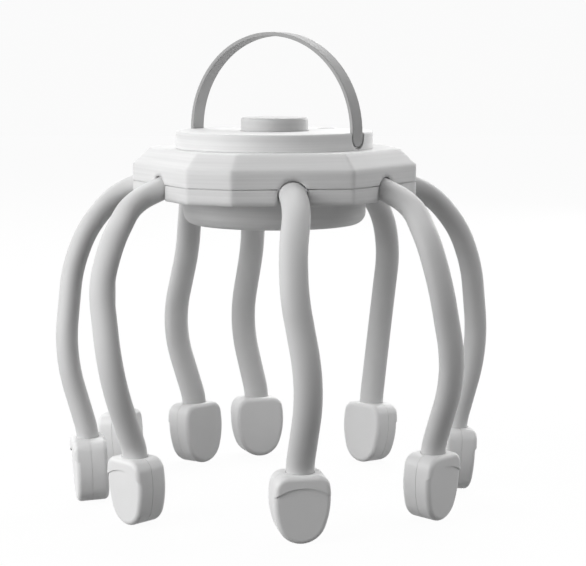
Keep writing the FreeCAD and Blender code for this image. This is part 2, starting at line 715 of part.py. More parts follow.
deck_screws = []
for number, azimuth in enumerate(DECK_SCREW_AZIMUTHS, start=1):
    place = facing(azimuth, value(DECK_POST_CIRCLE), value(PLATE_UNDERSIDE))
    length = "Sizes.shell_plate + Sizes.board_thickness + Sizes.deck_screw_bite"
    deck_screws.append(add_screw(f"deck_screw_{number}", "Sizes.deck_screw_radius", length,
                                 "Sizes.deck_screw_head_radius", "Sizes.deck_screw_head_height", place))
add_group("deck_screws", deck_screws)

# Lens: a dark disc in the deck with a light pipe down to the board

lens_body = add_body("indicator_lens")
lens_disc = add_sketch(lens_body, "lens_disc", DECK_TOP)
add_circle(lens_disc, "Sizes.lens_radius", LENS_X, LENS_Y)
add_pad(lens_body, lens_disc, "Sizes.lens_thickness", downward=True)
lens_pipe = add_sketch(lens_body, "lens_pipe", BOARD_TOP)
add_circle(lens_pipe, "Sizes.lens_pipe_radius", LENS_X, LENS_Y)
add_pad(lens_body, lens_pipe, f"{DECK_TOP} - Sizes.lens_thickness - {BOARD_TOP}")
keep(lens_body, "indicator_lens")

# Board, clamped between the hub's flat top and the deck's posts, with the switch in its middle

board_body = add_body("circuit_board")
board_outline = add_sketch(board_body, "board_outline", HUB_TOP)
add_circle(board_outline, BOARD_RADIUS)
add_pad(board_body, board_outline, "Sizes.board_thickness")
board_holes = add_sketch(board_body, "board_holes", BOARD_TOP)
for azimuth in DECK_SCREW_AZIMUTHS:
    add_circle(board_holes, "Sizes.deck_screw_radius + Sizes.screw_play",
               f"{DECK_POST_CIRCLE} * sin({azimuth})", f"-{DECK_POST_CIRCLE} * cos({azimuth})")
add_pocket(board_body, board_holes, "Sizes.board_thickness")
keep(board_body, "circuit_board")

switch_block = add_box("switch_block", "Sizes.switch_side", "Sizes.switch_side", "Sizes.switch_height",
                       Placement(Vector(-size("switch_side") / 2, 0, value(BOARD_TOP)), Rotation()))
switch_bore = add_cylinder("switch_bore", "Sizes.plunger_radius + Sizes.plunger_play",
                           "Sizes.switch_height", Placement(Vector(0, 0, value(BOARD_TOP)), Rotation()))
keep(add_cut("tact_switch", switch_block, switch_bore), "tact_switch")

plunger_foot = value(SWITCH_TOP) - size("plunger_hold")
keep(add_cylinder("switch_plunger", "Sizes.plunger_radius", "Sizes.plunger_hold + Sizes.plunger_rise",
                  Placement(Vector(0, 0, plunger_foot), Rotation())), "switch_plunger")

# Button: a hollow cap held under the deck by its flange, with a stem down to the switch

button_body = add_body("mode_button")
BUTTON_TOP = f"({DECK_TOP} + Sizes.button_rise)"
BUTTON_FOOT = f"({DECK_UNDERSIDE} - Sizes.button_flange_thickness)"
STEM_FOOT = f"({SWITCH_TOP} + Sizes.plunger_rise)"
button_flange = add_sketch(button_body, "button_flange", BUTTON_FOOT)
add_circle(button_flange, BUTTON_FLANGE_RADIUS)
add_pad(button_body, button_flange, "Sizes.button_flange_thickness")
button_cap = add_sketch(button_body, "button_cap", DECK_UNDERSIDE)
add_circle(button_cap, "Sizes.button_radius")
add_pad(button_body, button_cap, f"{BUTTON_TOP} - {DECK_UNDERSIDE}")
add_fillet(button_body, "button_edge", "Sizes.button_edge_radius",
           round_edge_at("Sizes.button_radius", BUTTON_TOP))
button_hollow = add_sketch(button_body, "button_hollow", BUTTON_FOOT)
add_circle(button_hollow, "Sizes.button_radius - Sizes.button_wall")
add_pocket(button_body, button_hollow, f"{BUTTON_TOP} - Sizes.button_wall - {BUTTON_FOOT}", upward=True)
button_stem = add_sketch(button_body, "button_stem", STEM_FOOT)
add_circle(button_stem, "Sizes.button_stem_radius")
add_pad(button_body, button_stem, f"{BUTTON_TOP} - Sizes.button_wall - {STEM_FOOT}")
keep(button_body, "mode_button")

# Charging socket: a round-ended metal sleeve with a contact tongue, on the back edge of the board

socket_sleeve = add_slot("socket_sleeve", "Sizes.socket_width", "Sizes.socket_height",
                         "Sizes.socket_length", socket_place)
socket_mouth = add_slot("socket_mouth", "(Sizes.socket_width - 2 * Sizes.socket_wall)",
                        "(Sizes.socket_height - 2 * Sizes.socket_wall)", "Sizes.socket_length",
                        shifted(socket_place, x=size("socket_back")))
socket_shell = add_cut("socket_shell", socket_sleeve, socket_mouth)
socket_tongue = add_box("socket_tongue", "Sizes.socket_back + Sizes.socket_tongue_length",
                        "Sizes.socket_tongue_width", "Sizes.socket_tongue_thickness",
                        shifted(socket_place, z=-size("socket_tongue_thickness") / 2))
keep(add_fuse("charge_socket", [socket_shell, socket_tongue]), "charge_socket")

# Handle: a flat strap bent to a half circle, flush with the deck, with round ends about its pins

handle_turn = Rotation(Vector(0, 0, 1), size("handle_azimuth") - 90)
strap_body = add_body("strap_arch")
strap_outline = add_upright_sketch(strap_body, "strap_outline")
STRAP_FOOT = f"({HANDLE_PIVOT} - Sizes.strap_width / 2)"
arch_centre = Vector(0, value(DECK_TOP), 0)
arch_edges = []
for radius in (STRAP_OUTER, STRAP_INNER):
    circle = Part.Circle(arch_centre, Vector(0, 0, 1), value(radius))
    arc = strap_outline.addGeometry(Part.ArcOfCircle(circle, 0, math.pi))
    number = strap_outline.addConstraint(Sketcher.Constraint("Radius", arc, value(radius)))
    strap_outline.setExpression(f"Constraints[{number}]", radius)
    pin_point(strap_outline, arc, 3, "0", DECK_TOP)
    arch_edges.append(arc)
outer_arc, inner_arc = arch_edges
for side, end in ((1, 1), (-1, 2)):
    outer_x = side * value(STRAP_OUTER)
    inner_x = side * value(STRAP_INNER)
    corners = [Vector(outer_x, value(STRAP_FOOT), 0), Vector(inner_x, value(STRAP_FOOT), 0)]
    outer_top = Vector(outer_x, value(DECK_TOP), 0)
    inner_top = Vector(inner_x, value(DECK_TOP), 0)
    outer_line = strap_outline.addGeometry(Part.LineSegment(outer_top, corners[0]))
    end_line = strap_outline.addGeometry(Part.LineSegment(corners[0], corners[1]))
    inner_line = strap_outline.addGeometry(Part.LineSegment(corners[1], inner_top))
    strap_outline.addConstraint(Sketcher.Constraint("Coincident", outer_arc, end, outer_line, 1))
    strap_outline.addConstraint(Sketcher.Constraint("Coincident", outer_line, 2, end_line, 1))
    strap_outline.addConstraint(Sketcher.Constraint("Coincident", end_line, 2, inner_line, 1))
    strap_outline.addConstraint(Sketcher.Constraint("Coincident", inner_line, 2, inner_arc, end))
    for geometry, place, height in ((outer_arc, end, DECK_TOP), (inner_arc, end, DECK_TOP),
                                    (end_line, 1, STRAP_FOOT), (end_line, 2, STRAP_FOOT)):
        hold_point(strap_outline, "DistanceY", geometry, place, height)
    strap_outline.addConstraint(Sketcher.Constraint("Vertical", outer_line))
    strap_outline.addConstraint(Sketcher.Constraint("Vertical", inner_line))
strap_pad = add_pad(strap_body, strap_outline, "Sizes.strap_width")
strap_pad.Midplane = True
doc.recompute()


def strap_end_corner(edge):
    """Test for the short edges across the strap's thickness at its two ends."""
    low = edge.BoundBox.ZMax < value(STRAP_FOOT) + size("thread_play")
    return low and abs(edge.tangentAt(edge.FirstParameter).x) > 0


def longer_than_strap_is_thick(edge):
    """Test for the edges along the strap and round its ends."""
    return edge.Length > size("strap_thickness")


add_fillet(strap_body, "strap_round_ends", "Sizes.strap_width / 2 - Sizes.thread_play", strap_end_corner)
add_fillet(strap_body, "strap_edges", "Sizes.strap_edge_radius", longer_than_strap_is_thick)
strap_body.Placement = Placement(Vector(), handle_turn)
strap_holes = []
handle_pins = []
for side, azimuth in enumerate(handle_sides):
    inner = value(STRAP_INNER)
    hole_place = facing(azimuth, inner, value(HANDLE_PIVOT))
    strap_holes.append(add_cylinder(f"strap_hole_{side}", "Sizes.handle_pin_radius + Sizes.handle_pin_play",
                                    "Sizes.handle_pin_reach + Sizes.handle_pin_play",
                                    shifted(hole_place, turn=ALONG_X)))
    foot = size("deck_radius") - size("recess_depth") - size("handle_pin_hold")
    pin_place = facing(azimuth, foot, value(HANDLE_PIVOT))
    length = f"{STRAP_INNER} + Sizes.handle_pin_reach - Sizes.deck_radius"
    handle_pins.append(add_cylinder(f"handle_pin_{side}", "Sizes.handle_pin_radius",
                                    f"{length} + Sizes.recess_depth + Sizes.handle_pin_hold",
                                    shifted(pin_place, turn=ALONG_X)))
keep(add_cut("carry_handle", strap_body, add_fuse("strap_holes", strap_holes)), "carry_handle")
add_group("handle_pins", handle_pins)

# Legs: an oval silicone sleeve along a bent path of straight runs and tangent arcs, moulded over a
# steel core whose cross pin rests between the shells


def foot_place(leg):
    """Placement of a foot: its top at the leg's ankle, its -Y the way it faces, leaning to the head."""
    *_, ankle, share, faced = LEG_BENDS[leg - 1]
    turn = Rotation(Vector(0, 0, 1), faced).multiply(Rotation(Vector(1, 0, 0), size("foot_lean")))
    return Placement(polar(share * size("leg_reach"), ankle, value(FOOT_TOP)), turn)


def leg_points(leg):
    """Corners of a leg's path, from its root inside the hub to its end inside the foot."""
    port = leg_port(leg)
    root = shifted(port, x=-size("leg_root_inset")).Base
    knee = shifted(port, x=size("leg_root_run") - size("leg_root_inset")).Base
    bends = LEG_BENDS[leg - 1]
    points = [root, knee]
    for azimuth, (radius_share, drop_share) in zip(bends, LEG_STATION_SHARES):
        points.append(polar(radius_share * size("leg_reach"), azimuth,
                            value(SEAM) - drop_share * size("leg_drop")))
    for rise in ((1 - ANKLE_DROP_SHARE) * size("leg_drop"), -size("leg_socket_depth")):
        points.append(foot_place(leg).multVec(Vector(0, 0, rise)))
    return points


def rounded_path(points):
    """Straight runs joined by tangent arcs as large as the runs beside each corner allow."""
    edges = []
    start = points[0]
    for before, corner, after in zip(points, points[1:], points[2:]):
        back = before - corner
        ahead = after - corner
        turn = math.pi - back.getAngle(ahead)
        reach = ARC_REACH_SHARE * min(back.Length, ahead.Length)
        back.normalize()
        ahead.normalize()
        radius = reach / math.tan(turn / 2)
        inward = (back + ahead).normalize()
        enter = corner + back * reach
        leave = corner + ahead * reach
        middle = corner + inward * (radius / math.cos(turn / 2) - radius)
        edges.append(Part.LineSegment(start, enter).toShape())
        edges.append(Part.Arc(enter, middle, leave).toShape())
        start = leave
    edges.append(Part.LineSegment(start, points[-1]).toShape())
    return Part.Wire(edges)


def swept(path, outline):
    """Solid that an outline at the start of a path leaves along it."""
    pipe = Part.BRepOffsetAPI.MakePipeShell(path)
    pipe.add(Part.Wire([outline]), False, False)
    pipe.build()
    pipe.makeSolid()
    return pipe.shape()


def leg_section(leg, width, thickness):
    """Oval edge at a leg's root, wide along the rim."""
    start = shifted(leg_port(leg), x=-size("leg_root_inset"), turn=FACING_X)
    edge = Part.Ellipse(Vector(), width / 2, thickness / 2).toShape()
    edge.Placement = start
    return edge


def leg_round(leg, radius):
    """Round edge at a leg's root."""
    edge = Part.Circle(Vector(), Vector(0, 0, 1), radius).toShape()
    edge.Placement = shifted(leg_port(leg), x=-size("leg_root_inset"), turn=FACING_X)
    return edge


def leg_end_turn(sleeve, place):
    """Direction of the wide axis of a leg's oval at its lower end, in degrees about the foot's Z."""
    end = place.multVec(Vector(0, 0, -size("leg_socket_depth")))
    for edge in sleeve.Edges:
        if isinstance(edge.Curve, Part.Ellipse) and (edge.Curve.Center - end).Length < size("core_play"):
            axis = place.Rotation.inverted().multVec(edge.Curve.XAxis)
            return math.degrees(math.atan2(axis.y, axis.x))
    raise RuntimeError("a leg has no oval end")


leg_ends = {}
for leg in legs:
    path = rounded_path(leg_points(leg))
    oval = swept(path, leg_section(leg, size("leg_width"), size("leg_thickness")))
    leg_ends[leg] = leg_end_turn(oval, foot_place(leg))
    pin_length = value(ROOT_PIN_LENGTH)
    bore = swept(path, leg_round(leg, size("core_radius") + size("core_play")))
    pin_bore = Part.makeCylinder(size("root_pin_radius") + size("core_play"), pin_length)
    pin_bore.Placement = root_pin_place(leg, pin_length)
    add_solid(f"leg_sleeve_{leg}", oval.cut([bore, pin_bore]))
    pin = Part.makeCylinder(size("root_pin_radius"), pin_length)
    pin.Placement = root_pin_place(leg, pin_length)
    core = swept(path, leg_round(leg, size("core_radius"))).fuse(pin)
    add_solid(f"leg_core_{leg}", core)

# Feet: two moulded halves that close on the end of the leg and on a coin motor. A foot is drawn with
# its top at the origin, X along its width, Z up and Y towards the head.


def foot_face(inset=0.0):
    """Foot outline in the XZ plane: flat top, round corners, long side arcs and a round tip."""
    half = size("foot_width") / 2 - inset
    corner = size("foot_corner_radius") - inset
    tip = value(FOOT_TIP_RADIUS) - inset
    top = -inset
    widest = -size("foot_widest_depth")
    tip_centre = value(FOOT_TIP_RADIUS) - size("foot_height")
    fall = widest - tip_centre
    side = (half ** 2 + fall ** 2 - tip ** 2) / (2 * (half - tip))
    side_x = half - side
    corner_z = top - corner
    corner_x = side_x + math.sqrt((side - corner) ** 2 - (corner_z - widest) ** 2)

    def on_arc(x, z, radius, lean):
        return Vector(x + radius * math.cos(lean), 0, z + radius * math.sin(lean))

    upper_lean = math.atan2(corner_z - widest, corner_x - side_x)
    lower_lean = math.atan2(tip_centre - widest, -side_x)
    top_end = Vector(corner_x, 0, top)
    upper = on_arc(corner_x, corner_z, corner, upper_lean)
    lower = on_arc(0, tip_centre, tip, lower_lean)
    bottom = Vector(0, 0, tip_centre - tip)
    corner_middle = on_arc(corner_x, corner_z, corner, (upper_lean + math.pi / 2) / 2)
    side_middle = on_arc(side_x, widest, side, (upper_lean + lower_lean) / 2)

    def across(point):
        return Vector(-point.x, point.y, point.z)

    edges = [Part.LineSegment(across(top_end), top_end),
             Part.Arc(top_end, corner_middle, upper),
             Part.Arc(upper, side_middle, lower),
             Part.Arc(lower, bottom, across(lower)),
             Part.Arc(across(lower), across(side_middle), across(upper)),
             Part.Arc(across(upper), across(corner_middle), across(top_end))]
    return Part.Face(Part.Wire([edge.toShape() for edge in edges]))


def foot_half(depth, outward):
    """Solid half of a foot, depth thick, with its outer edge rounded; outward is -1 or 1 in Y."""
    seam = size("foot_seam_width") / 2
    rim = foot_face(size("foot_seam_depth")).extrude(Vector(0, outward * seam, 0))
    body = foot_face().extrude(Vector(0, outward * (depth - seam), 0))
    body.translate(Vector(0, outward * seam, 0))
    face_edges = [edge for edge in body.Edges
                  if abs(edge.CenterOfMass.y - outward * depth) < size("thread_play")]
    return body.makeFillet(size("foot_edge_radius"), face_edges).fuse(rim).removeSplitter()


def foot_brow(depth):
    """Proud upper part of the outer face, bounded below by an arch."""
    reach = size("foot_width")
    middle = Vector(0, 0, -size("foot_brow_depth"))
    half = size("foot_width") / 2
    end_z = -size("foot_brow_end_depth")
    arch = Part.Arc(Vector(-half, 0, end_z), middle, Vector(half, 0, end_z))
    corners = [Vector(half, 0, end_z), Vector(reach, 0, end_z), Vector(reach, 0, reach),
               Vector(-reach, 0, reach), Vector(-reach, 0, end_z), Vector(-half, 0, end_z)]
    edges = [arch.toShape()]
    for start, end in zip(corners, corners[1:]):
        edges.append(Part.LineSegment(start, end).toShape())
    above = Part.Face(Part.Wire(edges)).extrude(Vector(0, -2 * depth, 0))
    return foot_half(depth, -1).common(above)


def foot_hollow(outward):
    """Room for the motor in one half, below the leg's socket."""
    depth = size("foot_thickness") / 2 - size("foot_wall")
    room = foot_face(size("foot_wall")).extrude(Vector(0, outward * depth, 0))
    roof = size("leg_socket_depth") + size("leg_socket_floor")
    reach = size("foot_width")
    lid = Part.makeBox(2 * reach, 2 * reach, roof, Vector(-reach, -reach, -roof))
    return room.cut(lid)


half_depth = size("foot_thickness") / 2
outer_half = foot_half(half_depth - size("foot_brow_proud"), -1).fuse(foot_brow(half_depth))
outer_half = outer_half.removeSplitter().cut(foot_hollow(-1))
inner_half = foot_half(half_depth, 1).cut(foot_hollow(1))
motor_seat = Vector(0, half_depth - size("foot_wall"), -size("motor_depth"))
motor = Part.makeCylinder(size("motor_radius"), size("motor_thickness"), motor_seat, Vector(0, -1, 0))


def leg_socket(leg):
    """What a leg takes up in its foot, with its play, from above the foot's top to the socket's floor."""
    above = Vector(0, 0, size("overrun"))
    edge = Part.Ellipse(above, size("leg_width") / 2 + size("leg_socket_play"),
                        size("leg_thickness") / 2 + size("leg_socket_play")).toShape()
    depth = size("overrun") + size("leg_socket_depth")
    socket = Part.Face(Part.Wire([edge])).extrude(Vector(0, 0, -depth))
    socket.Placement = Placement(Vector(), Rotation(Vector(0, 0, 1), leg_ends[leg]))
    return socket


def socketed(half, leg):
    """Half of a foot with a leg's socket cut from it."""
    opened = half.cut(leg_socket(leg))
    if opened.Volume >= half.Volume:
        raise RuntimeError(f"the socket of leg {leg} cuts nothing")
    return opened


for leg in legs:
    place = foot_place(leg)
    add_solid(f"foot_outer_{leg}", socketed(outer_half, leg), place)
    add_solid(f"foot_inner_{leg}", socketed(inner_half, leg), place)
    add_solid(f"foot_motor_{leg}", motor.copy(), place)

doc.recompute()
for item in doc.Objects:
    if "Invalid" in item.State or "Error" in item.State:
        raise RuntimeError(f"{item.Label} failed")
for item in nodes:
    if item.Shape.isNull() or not item.Shape.isValid():
        raise RuntimeError(f"{item.Label} has no valid shape")

os.makedirs("parts", exist_ok=True)
for item in nodes:
    item.Shape.exportStep(f"parts/{item.Label}.step")
    print(f"{item.Label}: {len(item.Shape.Solids)} solids, {item.Shape.Volume:.1f} mm3")
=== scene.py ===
import math

import bpy
import numpy as np
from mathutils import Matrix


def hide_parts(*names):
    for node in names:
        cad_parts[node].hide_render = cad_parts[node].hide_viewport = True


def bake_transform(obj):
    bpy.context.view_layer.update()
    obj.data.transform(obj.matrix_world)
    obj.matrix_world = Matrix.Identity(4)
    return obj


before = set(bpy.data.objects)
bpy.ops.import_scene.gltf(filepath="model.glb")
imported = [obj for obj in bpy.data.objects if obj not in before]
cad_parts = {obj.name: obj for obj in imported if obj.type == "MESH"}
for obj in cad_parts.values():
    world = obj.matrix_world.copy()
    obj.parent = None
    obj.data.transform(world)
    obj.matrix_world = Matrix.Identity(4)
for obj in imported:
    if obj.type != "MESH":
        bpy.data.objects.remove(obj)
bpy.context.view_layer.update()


# Hub shells, belly cap and deck: the ten-sided housing of pale ABS, moulded in four pieces and
# screwed together from below. The solids carry the shape, and this section gives them their finish.

MM = 0.001
SEAM_HEIGHT = 122.8 * MM
SHELL_EDGE_MM = 3.0
RIM_EDGE_MM = 0.5
EDGE_SAMPLES = 8
SEAM_BAND_SHARE = 0.5
LEAST_RISE = 0.02
GRAIN_DETAIL = 2.0
PATCH_DETAIL = 3.0
LINE_DETAIL = 2.0
LINE_LENGTH_MM = 60.0
LINE_SHARE = 0.75
ABS_IOR = 1.53


def linear(hex_colour):
    """sRGB hex to linear RGBA: c/12.92 below 0.04045, else ((c + 0.055) / 1.055) to the power 2.4."""
    shares = np.array([int(hex_colour[i:i + 2], 16) / 255 for i in (0, 2, 4)])
    low, high = shares / 12.92, ((shares + 0.055) / 1.055) ** 2.4
    return (*np.where(shares <= 0.04045, low, high).tolist(), 1.0)


def add_node(material, kind, settings, sockets):
    """Add a node, set its properties, and give each named socket a value or a link."""
    node = material.node_tree.nodes.new(kind)
    for name, value in settings.items():
        setattr(node, name, value)
    for name, value in sockets.items():
        if isinstance(value, bpy.types.NodeSocket):
            material.node_tree.links.new(value, node.inputs[name])
        else:
            node.inputs[name].default_value = value
    return node


def new_finish(name, sockets, grain_mm, grain_height_mm, patch_mm, tones, gloss,
               line_mm=0.0, edge_mm=0.0):
    """Principled material with the given sockets and a worked skin: fine grain as bump, and broad
    faint patches, one per patch size, that run between two tones and two values of roughness.
    A line size adds level tool lines to the tones, and an edge size makes the edges take the light
    as if they were rounded that far."""
    material = bpy.data.materials.new(name)
    material.use_nodes = True
    links = material.node_tree.links
    shader = material.node_tree.nodes["Principled BSDF"]
    for socket, value in sockets.items():
        shader.inputs[socket].default_value = value
    place = add_node(material, "ShaderNodeTexCoord", {}, {})
    grain = add_node(material, "ShaderNodeTexNoise", {}, {
        "Vector": place.outputs["Object"], "Scale": 1 / (grain_mm * MM), "Detail": GRAIN_DETAIL})
    bump = add_node(material, "ShaderNodeBump", {}, {
        "Height": grain.outputs["Fac"], "Distance": grain_height_mm * MM, "Strength": 1.0})
    if edge_mm:
        edge = add_node(material, "ShaderNodeBevel", {"samples": EDGE_SAMPLES}, {
            "Radius": edge_mm * MM})
        links.new(edge.outputs["Normal"], bump.inputs["Normal"])
    links.new(bump.outputs["Normal"], shader.inputs["Normal"])
    patches = add_node(material, "ShaderNodeTexNoise", {}, {
        "Vector": place.outputs["Object"], "Scale": 1 / (patch_mm * MM), "Detail": PATCH_DETAIL})
    mottle = patches.outputs["Fac"]
    if line_mm:
        along = 1 / (LINE_LENGTH_MM * MM)
        drawn = add_node(material, "ShaderNodeMapping", {}, {
            "Vector": place.outputs["Object"], "Scale": (along, along, 1 / (line_mm * MM))})
        lines = add_node(material, "ShaderNodeTexNoise", {}, {
            "Vector": drawn.outputs["Vector"], "Scale": 1.0, "Detail": LINE_DETAIL})
        both = add_node(material, "ShaderNodeMix", {"data_type": "FLOAT"}, {
            "Factor": LINE_SHARE, "A": mottle, "B": lines.outputs["Fac"]})
        mottle = both.outputs["Result"]
    tone = add_node(material, "ShaderNodeValToRGB", {}, {"Fac": mottle})
    for element, hex_colour in zip(tone.color_ramp.elements, tones):
        element.color = linear(hex_colour)
    links.new(tone.outputs["Color"], shader.inputs["Base Color"])
    roughness = add_node(material, "ShaderNodeMapRange", {}, {
        "Value": patches.outputs["Fac"], "To Min": gloss[0], "To Max": gloss[1]})
    links.new(roughness.outputs["Result"], shader.inputs["Roughness"])
    return material


def keep_seam_crisp(material, edge_mm):
    """Lay the rounded normals level near the seam, so that the corners stay soft there and the seam
    sharp: their rise is scaled from almost nothing, within a share of the edge size from the seam,
    up to 1 at the whole edge size."""
    bump = material.node_tree.nodes["Bump"]
    rounded = material.node_tree.nodes["Bevel"].outputs["Normal"]
    place = add_node(material, "ShaderNodeTexCoord", {}, {})
    height = add_node(material, "ShaderNodeSeparateXYZ", {}, {"Vector": place.outputs["Object"]})
    above = add_node(material, "ShaderNodeMath", {"operation": "SUBTRACT"}, {
        0: height.outputs["Z"], 1: SEAM_HEIGHT})
    away = add_node(material, "ShaderNodeMath", {"operation": "ABSOLUTE"}, {
        0: above.outputs["Value"]})
    share = add_node(material, "ShaderNodeMapRange", {}, {
        "Value": away.outputs["Value"], "From Min": SEAM_BAND_SHARE * edge_mm * MM,
        "From Max": edge_mm * MM, "To Min": LEAST_RISE})
    scale = add_node(material, "ShaderNodeCombineXYZ", {}, {
        "X": 1.0, "Y": 1.0, "Z": share.outputs["Result"]})
    level = add_node(material, "ShaderNodeVectorMath", {"operation": "MULTIPLY"}, {
        0: rounded, 1: scale.outputs["Vector"]})
    whole = add_node(material, "ShaderNodeVectorMath", {"operation": "NORMALIZE"}, {
        0: level.outputs["Vector"]})
    material.node_tree.links.new(whole.outputs["Vector"], bump.inputs["Normal"])


def dress(material, *names):
    """Give CAD nodes a finish."""
    for name in names:
        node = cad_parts[name]
        node.data.materials.clear()
        node.data.materials.append(material)


# Moulded ABS with a fine spark-eroded grain: satin, with broad soft highlights, the faint uneven
# gloss of handled plastic and faint level lines from the tool. The real grain is about 0.1 mm and
# the lines about 0.3 mm, and both are drawn coarser so that they show.
SATIN_SKIN = {"grain_mm": 0.4, "grain_height_mm": 0.0015, "patch_mm": 14.0,
              "tones": ("D4D4D4", "F0F0F0"), "gloss": (0.48, 0.6), "line_mm": 1.0}
satin_abs = new_finish("satin_moulded_abs", {"IOR": ABS_IOR}, edge_mm=SHELL_EDGE_MM, **SATIN_SKIN)
keep_seam_crisp(satin_abs, SHELL_EDGE_MM)
dress(satin_abs, "upper_shell", "lower_shell")

# The same moulded ABS on the deck and the cap, whose rims come out crisper than the hub's corners.
rim_abs = new_finish("satin_rim_moulded_abs", {"IOR": ABS_IOR}, edge_mm=RIM_EDGE_MM, **SATIN_SKIN)
dress(rim_abs, "belly_cap", "top_deck")


# Button and indicator: a round ABS cap that is held in the deck by its flange and pressed down, and
# a small disc of smoked acrylic beside it, pushed into its seat, through which a light shows.

BUTTON_EDGE_MM = 0.6

# ABS of a greyer batch than the hub, from a plain mould: an even grey, with a soft gloss where
# fingers polish it. Grain and lines are drawn as coarse as on the hub.
grey_abs = new_finish("grey_moulded_abs", {"IOR": ABS_IOR}, grain_mm=0.4, grain_height_mm=0.0005,
                      patch_mm=9.0, tones=("B6B6B6", "D0D0D0"), gloss=(0.42, 0.54), line_mm=1.0,
                      edge_mm=BUTTON_EDGE_MM)
dress(grey_abs, "mode_button")

# Cast acrylic, smoked through and polished: dark, with a hard bright reflection.
smoked_acrylic = new_finish("smoked_cast_acrylic", {"IOR": 1.49}, grain_mm=1.0,
                            grain_height_mm=0.0001, patch_mm=3.0, tones=("2A2B2D", "323335"),
                            gloss=(0.1, 0.18))
dress(smoked_acrylic, "indicator_lens")


# Carrying handle: a flat strap of grey nylon, bent to a half circle and hung on two steel pins in
# the recesses of the deck. It rocks on them until it meets the sides of its recesses.

NYLON_IOR = 1.53

# Bent strip of nylon: a shade darker than the button, with faint waves, and duller, because its skin
# takes up moisture.
strap_nylon = new_finish("bent_grey_nylon", {"IOR": NYLON_IOR, "Specular IOR Level": 0.2},
                         grain_mm=3.0, grain_height_mm=0.0004, patch_mm=9.0,
                         tones=("A8A8A8", "B2B2B2"), gloss=(0.44, 0.54))
dress(strap_nylon, "carry_handle")


# Inside: the laminate board, screwed under the deck with its switch and charging socket, the wrapped
# battery cell in the belly cap, plated screws and pins, spring-steel leg cores and the plated cans of
# the foot motors.

LEGS = range(1, 10)

# Drawn and plated steel: a bright grey metal with a soft, slightly uneven reflection.
plated_steel = new_finish("drawn_plated_steel", {"Metallic": 1.0}, grain_mm=0.3,
                          grain_height_mm=0.0002, patch_mm=4.0, tones=("B2B3B5", "C0C1C3"),
                          gloss=(0.26, 0.38))
dress(plated_steel, "shell_screws", "deck_screws", "handle_pins", "charge_socket")
dress(plated_steel, *[f"{piece}_{leg}" for leg in LEGS for piece in ("leg_core", "foot_motor")])

# Pressed glass laminate under green lacquer: the weave shows as a faint grain under a soft gloss.
green_laminate = new_finish("lacquered_glass_laminate", {"IOR": 1.5}, grain_mm=0.6,
                            grain_height_mm=0.001, patch_mm=6.0, tones=("1A6040", "247647"),
                            gloss=(0.34, 0.46))
dress(green_laminate, "circuit_board")

# Moulded nylon filled with glass: near black and dull.
black_nylon = new_finish("black_moulded_nylon", {"IOR": NYLON_IOR}, grain_mm=0.3,
                         grain_height_mm=0.001, patch_mm=3.0, tones=("18181A", "202021"),
                         gloss=(0.46, 0.58))
dress(black_nylon, "tact_switch", "switch_plunger")

# Film shrunk on the cell: silver grey and glossy, with the faint waves of shrunk film.
silver_film = new_finish("silver_shrunk_film", {"IOR": 1.5}, grain_mm=4.0, grain_height_mm=0.01,
                         patch_mm=12.0, tones=("B8BABF", "C6C8CD"), gloss=(0.2, 0.3))
dress(silver_film, "battery")


# Legs: nine tubes of soft silicone, oval in section, moulded over a springy wire and bent by hand.
# Each leaves the middle of a side of the hub, where its wire is pinned, bows out and comes down into
# its foot.

HUB_CORNER_RADIUS = 54.0 * MM
HUB_CORNERS = np.radians([-90.0, -35.9, -16.5, 31.8, 82.4, 118.0, 164.0, 200.0, 224.0, 246.0, 270.0])
LEG_HALF_WIDTH = 5.05 * MM
LEG_HALF_THICKNESS = 4.2 * MM
LEG_PITCH = math.radians(22.0)
LEG_ROOT_INSET = 6.0 * MM
LEG_ROOT_RUN = 17.8 * MM
PORT_DROP = 2.1 * MM
LEG_REACH = 80.5 * MM
LEG_DROP = 97.9 * MM
FOOT_TOP = 25.07 * MM
FOOT_LEAN = math.radians(3.0)
LEG_SOCKET_DEPTH = 6.0 * MM
ANKLE_RISE_SHARE = 0.025
STATION_RADIUS_SHARES = np.array([0.905, 0.97, 1.0])
STATION_DROP_SHARES = np.array([0.20, 0.355, 0.675])
# Azimuths in degrees at the shoulder, the bow, the shin and the ankle, then the ankle's radius as a
# share of the leg's reach, and the azimuth that the foot faces
LEG_BENDS = (
    (5.0, 5.0, 9.0, 7.5, 0.85, 11.0),
    (49.5, 49.5, 54.0, 58.0, 0.855, 50.0),
    (99.5, 99.5, 98.5, 99.0, 0.90, 99.5),
    (141.5, 142.5, 146.5, 146.0, 0.905, 133.5),
    (187.0, 187.0, 190.5, 186.0, 0.915, 197.0),
    (209.0, 208.0, 212.5, 209.5, 0.85, 225.5),
    (238.0, 241.5, 239.5, 237.5, 0.935, 254.5),
    (265.5, 267.5, 275.5, 276.5, 0.895, 281.5),
    (306.5, 307.0, 313.5, 310.0, 0.825, 310.0),
)
BEND_REACH_SHARE = 0.45
RINGS_PER_RUN = 8
RINGS_PER_BEND = 16
POINTS_PER_RING = 48


def polar(radius, azimuth, height):
    """Points at a radius and azimuth about the hub's axis: x = r sin a, y = -r cos a."""
    radius, azimuth, height = np.broadcast_arrays(radius, azimuth, height)
    return np.stack([radius * np.sin(azimuth), -radius * np.cos(azimuth), height], axis=-1)


